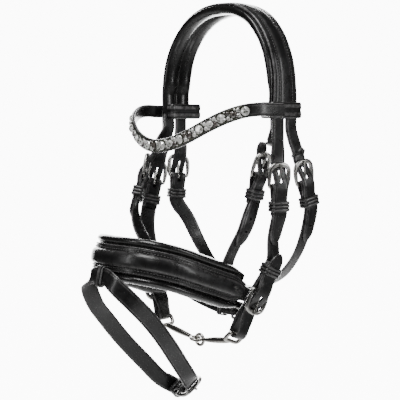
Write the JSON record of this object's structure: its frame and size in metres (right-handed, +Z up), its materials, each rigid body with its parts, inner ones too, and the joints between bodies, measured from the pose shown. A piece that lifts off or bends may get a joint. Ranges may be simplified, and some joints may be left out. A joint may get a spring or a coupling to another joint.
{
  "type": "snaffle bridle",
  "caption": "Headpiece arch with padded crown, wavy crystal browband, buckled cheekpieces, padded noseband with flash strap, throatlatch and a slim jointed bit.",
  "frame": {"origin": "underside of the crown padding at its apex, where the bridle hangs on a hook or lies on the poll", "axes": "+Z up, +X the horse's near (left) side, -Y towards the nose"},
  "size_m": [0.1962, 0.2343, 0.4377],
  "materials": {
    "strap_leather": "smooth black bridle leather with waxed, creased edges",
    "padding_leather": "soft glossy black leather over foam",
    "buckle_metal": "polished stainless steel",
    "bit_steel": "polished stainless steel, slightly warm",
    "clear_crystal": "cut glass, foil backed",
    "smoky_crystal": "smoky cut glass"
  },
  "bodies": {
    "headpiece": {"crown_padding": "padding_leather", "crown_strap": "strap_leather"},
    "browband": {"browband_strap": "strap_leather", "near_browband_loop": "strap_leather", "far_browband_loop": "strap_leather", "clear_crystals": "clear_crystal", "dark_crystals": "smoky_crystal"},
    "near_cheek": {"near_cheek_billet": "strap_leather", "near_cheek_buckle": "buckle_metal", "near_cheek_keeper": "strap_leather", "near_cheekpiece": "strap_leather", "near_bit_chape": "strap_leather", "near_bit_buckle": "buckle_metal"},
    "near_cheek_tongue": {"near_cheek_tongue": "buckle_metal"},
    "near_bit_tongue": {"near_bit_tongue": "buckle_metal"},
    "near_bit_runner": {"near_bit_runner": "strap_leather"},
    "near_mouthpiece": {"near_mouthpiece_arm": "bit_steel"},
    "near_noseband_tongue": {"near_noseband_tongue": "buckle_metal"},
    "near_throatlatch_tongue": {"near_throatlatch_tongue": "buckle_metal"},
    "far_cheek": {"far_cheek_billet": "strap_leather", "far_cheek_buckle": "buckle_metal", "far_cheek_keeper": "strap_leather", "far_cheekpiece": "strap_leather", "far_bit_chape": "strap_leather", "far_bit_buckle": "buckle_metal"},
    "far_cheek_tongue": {"far_cheek_tongue": "buckle_metal"},
    "far_bit_tongue": {"far_bit_tongue": "buckle_metal"},
    "far_bit_runner": {"far_bit_runner": "strap_leather"},
    "far_mouthpiece": {"far_mouthpiece_arm": "bit_steel"},
    "far_noseband_tongue": {"far_noseband_tongue": "buckle_metal"},
    "far_throatlatch_tongue": {"far_throatlatch_tongue": "buckle_metal"},
    "noseband": {"noseband_padding": "padding_leather", "noseband_strap": "strap_leather", "near_noseband_billet": "strap_leather", "near_noseband_buckle": "buckle_metal", "near_noseband_keeper": "strap_leather", "near_noseband_hanger": "strap_leather", "far_noseband_billet": "strap_leather", "far_noseband_buckle": "buckle_metal", "far_noseband_keeper": "strap_leather", "far_noseband_hanger": "strap_leather", "far_chin_strap": "strap_leather", "near_chin_strap": "strap_leather", "chin_buckle": "buckle_metal", "chin_keeper": "strap_leather"},
    "chin_tongue": {"chin_tongue": "buckle_metal"},
    "throatlatch": {"throatlatch_strap": "strap_leather", "near_throatlatch_billet": "strap_leather", "near_throatlatch_buckle": "buckle_metal", "near_throatlatch_keeper": "strap_leather", "far_throatlatch_billet": "strap_leather", "far_throatlatch_buckle": "buckle_metal", "far_throatlatch_keeper": "strap_leather"},
    "flash": {"flash_carrier_loop": "strap_leather", "flash_strap": "strap_leather", "flash_buckle": "buckle_metal", "flash_keeper": "strap_leather"},
    "flash_tongue": {"flash_tongue": "buckle_metal"}
  },
  "joints": [
    {"name": "browband_slide", "type": "slide", "parent": "headpiece", "child": "browband", "axis": [0, 0, 1], "range_m": [0, 0.006]},
    {"name": "near_cheek_swing", "type": "hinge", "parent": "headpiece", "child": "near_cheek", "pos_m": [0.0887, -0.0095, -0.1245], "axis": [1, 0, 0], "range_deg": [-8, 3]},
    {"name": "far_cheek_swing", "type": "hinge", "parent": "headpiece", "child": "far_cheek", "pos_m": [-0.0887, -0.0095, -0.1245], "axis": [1, 0, 0], "range_deg": [-8, 3]},
    {"name": "noseband_swing", "type": "hinge", "parent": "headpiece", "child": "noseband", "pos_m": [0, -0.0095, -0.1245], "axis": [1, 0, 0], "range_deg": [-8, 3]},
    {"name": "throatlatch_swing", "type": "hinge", "parent": "headpiece", "child": "throatlatch", "pos_m": [0, 0.0095, -0.1245], "axis": [1, 0, 0], "range_deg": [-1, 12]},
    {"name": "flash_swing", "type": "hinge", "parent": "noseband", "child": "flash", "pos_m": [0, -0.17238, -0.26487], "axis": [1, 0, 0], "range_deg": [-14, 1]},
    {"name": "near_mouthpiece_fold", "type": "hinge", "parent": "near_cheek", "child": "near_mouthpiece", "pos_m": [0.05249, -0.03371, -0.34583], "axis": [0.0243, 0.9364, -0.3501], "range_deg": [-2.5, 2.5]},
    {"name": "near_cheek_tongue_lift", "type": "hinge", "parent": "near_cheek", "child": "near_cheek_tongue", "pos_m": [0.0875, -0.0072, -0.187], "axis": [0.2201, 0.9754, 0.0129], "range_deg": [0, 9]},
    {"name": "near_bit_tongue_lift", "type": "hinge", "parent": "near_cheek", "child": "near_bit_tongue", "pos_m": [0.071, -0.0165, -0.2985], "axis": [-0.0243, -0.9364, 0.3501], "range_deg": [0, 9]},
    {"name": "near_noseband_tongue_lift", "type": "hinge", "parent": "noseband", "child": "near_noseband_tongue", "pos_m": [0.0666, -0.0174, -0.175], "axis": [-0.1605, 0.9849, -0.0648], "range_deg": [0, 9]},
    {"name": "near_throatlatch_tongue_lift", "type": "hinge", "parent": "throatlatch", "child": "near_throatlatch_tongue", "pos_m": [0.0875, 0.0325, -0.184], "axis": [0.0587, 0.9682, 0.2432], "range_deg": [0, 9]},
    {"name": "near_bit_runner_slide", "type": "slide", "parent": "near_cheek", "child": "near_bit_runner", "axis": [-0.2524, -0.3331, -0.9085], "range_m": [-0.0035, 0.004]},
    {"name": "far_mouthpiece_fold", "type": "hinge", "parent": "far_cheek", "child": "far_mouthpiece", "pos_m": [-0.06366, -0.04442, -0.34003], "axis": [0.231, 0.9674, 0.1042], "range_deg": [-2.5, 2.5]},
    {"name": "far_cheek_tongue_lift", "type": "hinge", "parent": "far_cheek", "child": "far_cheek_tongue", "pos_m": [-0.0875, -0.038, -0.1875], "axis": [-0.3523, -0.9101, 0.2184], "range_deg": [0, 9]},
    {"name": "far_bit_tongue_lift", "type": "hinge", "parent": "far_cheek", "child": "far_bit_tongue", "pos_m": [-0.0775, -0.0458, -0.2965], "axis": [0.231, 0.9674, 0.1042], "range_deg": [0, 9]},
    {"name": "far_noseband_tongue_lift", "type": "hinge", "parent": "noseband", "child": "far_noseband_tongue", "pos_m": [-0.0765, -0.0596, -0.1795], "axis": [0.6332, -0.6993, 0.3317], "range_deg": [0, 9]},
    {"name": "far_throatlatch_tongue_lift", "type": "hinge", "parent": "throatlatch", "child": "far_throatlatch_tongue", "pos_m": [-0.086, -0.0035, -0.1815], "axis": [-0.2999, -0.9498, 0.089], "range_deg": [0, 9]},
    {"name": "far_bit_runner_slide", "type": "slide", "parent": "far_cheek", "child": "far_bit_runner", "axis": [0.1958, 0.0587, -0.9789], "range_m": [-0.0035, 0.004]},
    {"name": "chin_tongue_lift", "type": "hinge", "parent": "noseband", "child": "chin_tongue", "pos_m": [-0.011, 0.0175, -0.331], "axis": [-0.006, 0.2, 0.9798], "range_deg": [0, 9]},
    {"name": "flash_tongue_lift", "type": "hinge", "parent": "flash", "child": "flash_tongue", "pos_m": [-0.004, -0.0615, -0.408], "axis": [0.069, 0.7849, 0.6158], "range_deg": [0, 9]}
  ],
  "couplings": [
    {"joint": "far_cheek_swing", "follows": "near_cheek_swing", "ratio": 1},
    {"joint": "noseband_swing", "follows": "near_cheek_swing", "ratio": 1},
    {"joint": "far_mouthpiece_fold", "follows": "near_mouthpiece_fold", "ratio": -1}
  ]
}
